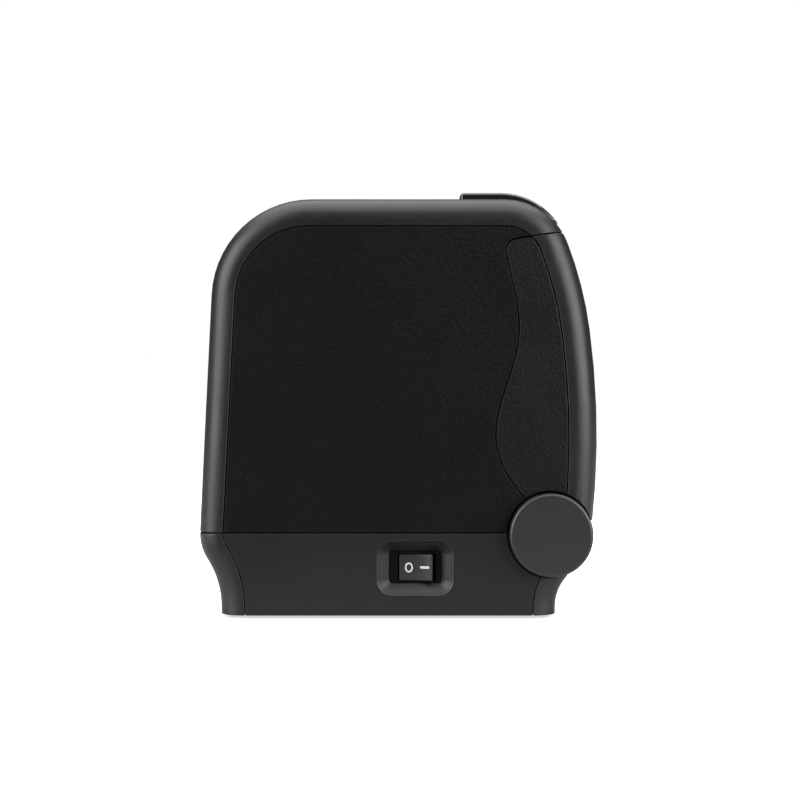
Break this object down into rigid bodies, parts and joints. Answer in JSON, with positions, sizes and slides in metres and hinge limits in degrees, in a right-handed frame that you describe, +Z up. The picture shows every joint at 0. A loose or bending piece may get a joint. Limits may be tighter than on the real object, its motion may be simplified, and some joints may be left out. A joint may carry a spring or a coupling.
{
  "type": "thermal receipt printer",
  "caption": "Compact desktop thermal receipt printer with a tilting front door on round hinge caps, a drop-in paper bucket, a geared paper feed and a V-blade cutter.",
  "frame": {"origin": "on the table, under the middle of the overall box", "axes": "+X to the printer's right-hand side as seen from behind it (the switch is on the -X side), -Y towards the front door, +Z up"},
  "size_m": [0.145, 0.1408, 0.1525],
  "materials": {
    "cover_satin": "satin moulded",
    "panel_grain": "fine grained",
    "gloss_black": "polished",
    "inner_black": "matte moulded",
    "button_grey": "satin",
    "lens": "frosted clear",
    "board_green": "solder resist",
    "rubber_black": "ground",
    "steel_plate": "zinc plated",
    "steel_bright": "ground",
    "aluminium": "extruded",
    "ceramic": "glazed",
    "gear_plastic": "natural acetal",
    "brass": "cut",
    "socket_black": "moulded"
  },
  "bodies": {
    "body": {"base_shell": "inner_black", "base_front_flare": "cover_satin", "base_rear_flare": "cover_satin", "base_skirt_left": "cover_satin", "base_skirt_right": "cover_satin", "rubber_feet": "rubber_black", "base_screws": "steel_plate", "top_cover": "cover_satin", "side_panel_left": "panel_grain", "side_panel_right": "panel_grain", "control_bezel": "gloss_black", "led_lenses": "lens", "panel_board": "board_green", "switch_frame": "gloss_black", "paper_bucket": "inner_black", "print_frame": "steel_plate", "head_springs": "steel_bright", "feed_motor": "steel_plate", "cutter_frame": "steel_plate", "cutter_motor": "steel_plate", "main_board": "board_green", "power_socket": "socket_black", "drawer_socket": "socket_black", "network_socket": "steel_plate", "usb_socket": "steel_plate", "socket_plate": "steel_plate", "paper_end_sensor": "socket_black", "frame_screws": "steel_plate"},
    "door": {"door_shell": "cover_satin", "door_cheek_left": "panel_grain", "door_cheek_right": "panel_grain", "door_liner": "inner_black", "door_lip": "gloss_black", "tear_bar": "steel_bright", "latch_pins": "steel_bright", "hinge_pins": "steel_bright", "hinge_cap_left": "cover_satin", "hinge_cap_right": "cover_satin", "platen_bracket": "steel_plate", "fixed_blade": "steel_bright", "platen_bushes": "gear_plastic"},
    "platen": {"platen_shaft": "steel_bright", "platen_roller": "rubber_black", "platen_gear": "gear_plastic"},
    "head": {"heat_sink": "aluminium", "heater_strip": "ceramic"},
    "idler": {"idler_gear": "gear_plastic"},
    "feed_drive": {"feed_pinion": "brass"},
    "cutter_cross_shaft": {"cutter_shaft": "steel_bright", "cutter_gear": "gear_plastic"},
    "moving_blade": {"cutter_blade": "steel_bright"},
    "cutter_drive": {"cutter_pinion": "brass"},
    "rocker": {"power_rocker": "gloss_black"},
    "feed_key": {"feed_button": "button_grey"},
    "open_key": {"open_button": "button_grey"},
    "latch": {"latch_hooks": "steel_plate"}
  },
  "joints": [
    {"name": "door_hinge", "type": "hinge", "parent": "body", "child": "door", "pos_m": [0, -0.05337, 0.0295], "axis": [1, 0, 0], "range_deg": [0, 80]},
    {"name": "platen_spin", "type": "hinge", "parent": "door", "child": "platen", "pos_m": [0, -0.04787, 0.1265], "axis": [1, 0, 0], "continuous": true},
    {"name": "idler_spin", "type": "hinge", "parent": "body", "child": "idler", "pos_m": [0.049, -0.02865, 0.12541], "axis": [1, 0, 0], "continuous": true},
    {"name": "feed_motor_spin", "type": "hinge", "parent": "body", "child": "feed_drive", "pos_m": [0.049, -0.01289, 0.12235], "axis": [1, 0, 0], "continuous": true},
    {"name": "head_float", "type": "hinge", "parent": "body", "child": "head", "pos_m": [0, -0.03857, 0.117], "axis": [-1, 0, 0], "range_deg": [0, 1], "stiffness_Nm_per_rad": 3, "springref_deg": -1.72},
    {"name": "cutter_shaft_turn", "type": "hinge", "parent": "body", "child": "cutter_cross_shaft", "pos_m": [0, -0.01297, 0.1304], "axis": [1, 0, 0], "range_deg": [0, 95.49]},
    {"name": "blade_slide", "type": "slide", "parent": "body", "child": "moving_blade", "axis": [0, -1, 0], "range_m": [0, 0.008]},
    {"name": "cutter_motor_spin", "type": "hinge", "parent": "body", "child": "cutter_drive", "pos_m": [-0.024, 0.00093, 0.12237], "axis": [1, 0, 0], "range_deg": [-286.48, 0]},
    {"name": "rocker_tilt", "type": "hinge", "parent": "body", "child": "rocker", "pos_m": [-0.0628, -0.0065, 0.0177], "axis": [0, 0, 1], "range_deg": [0, 24]},
    {"name": "feed_press", "type": "slide", "parent": "body", "child": "feed_key", "axis": [0, 0, -1], "range_m": [0, 0.0012], "stiffness_N_per_m": 400, "springref_m": -0.001},
    {"name": "open_press", "type": "slide", "parent": "body", "child": "open_key", "axis": [0, 0, -1], "range_m": [0, 0.0024], "stiffness_N_per_m": 580, "springref_m": -0.0021},
    {"name": "latch_turn", "type": "hinge", "parent": "body", "child": "latch", "pos_m": [0, -0.03457, 0.1417], "axis": [-1, 0, 0], "range_deg": [0, 19.1]}
  ],
  "couplings": [
    {"joint": "idler_spin", "follows": "platen_spin", "ratio": -0.71429},
    {"joint": "feed_motor_spin", "follows": "platen_spin", "ratio": 1.6667},
    {"joint": "cutter_shaft_turn", "follows": "blade_slide", "rad_per_m": 208.33},
    {"joint": "cutter_motor_spin", "follows": "blade_slide", "rad_per_m": -625},
    {"joint": "latch_turn", "follows": "open_press", "rad_per_m": 138.89}
  ]
}
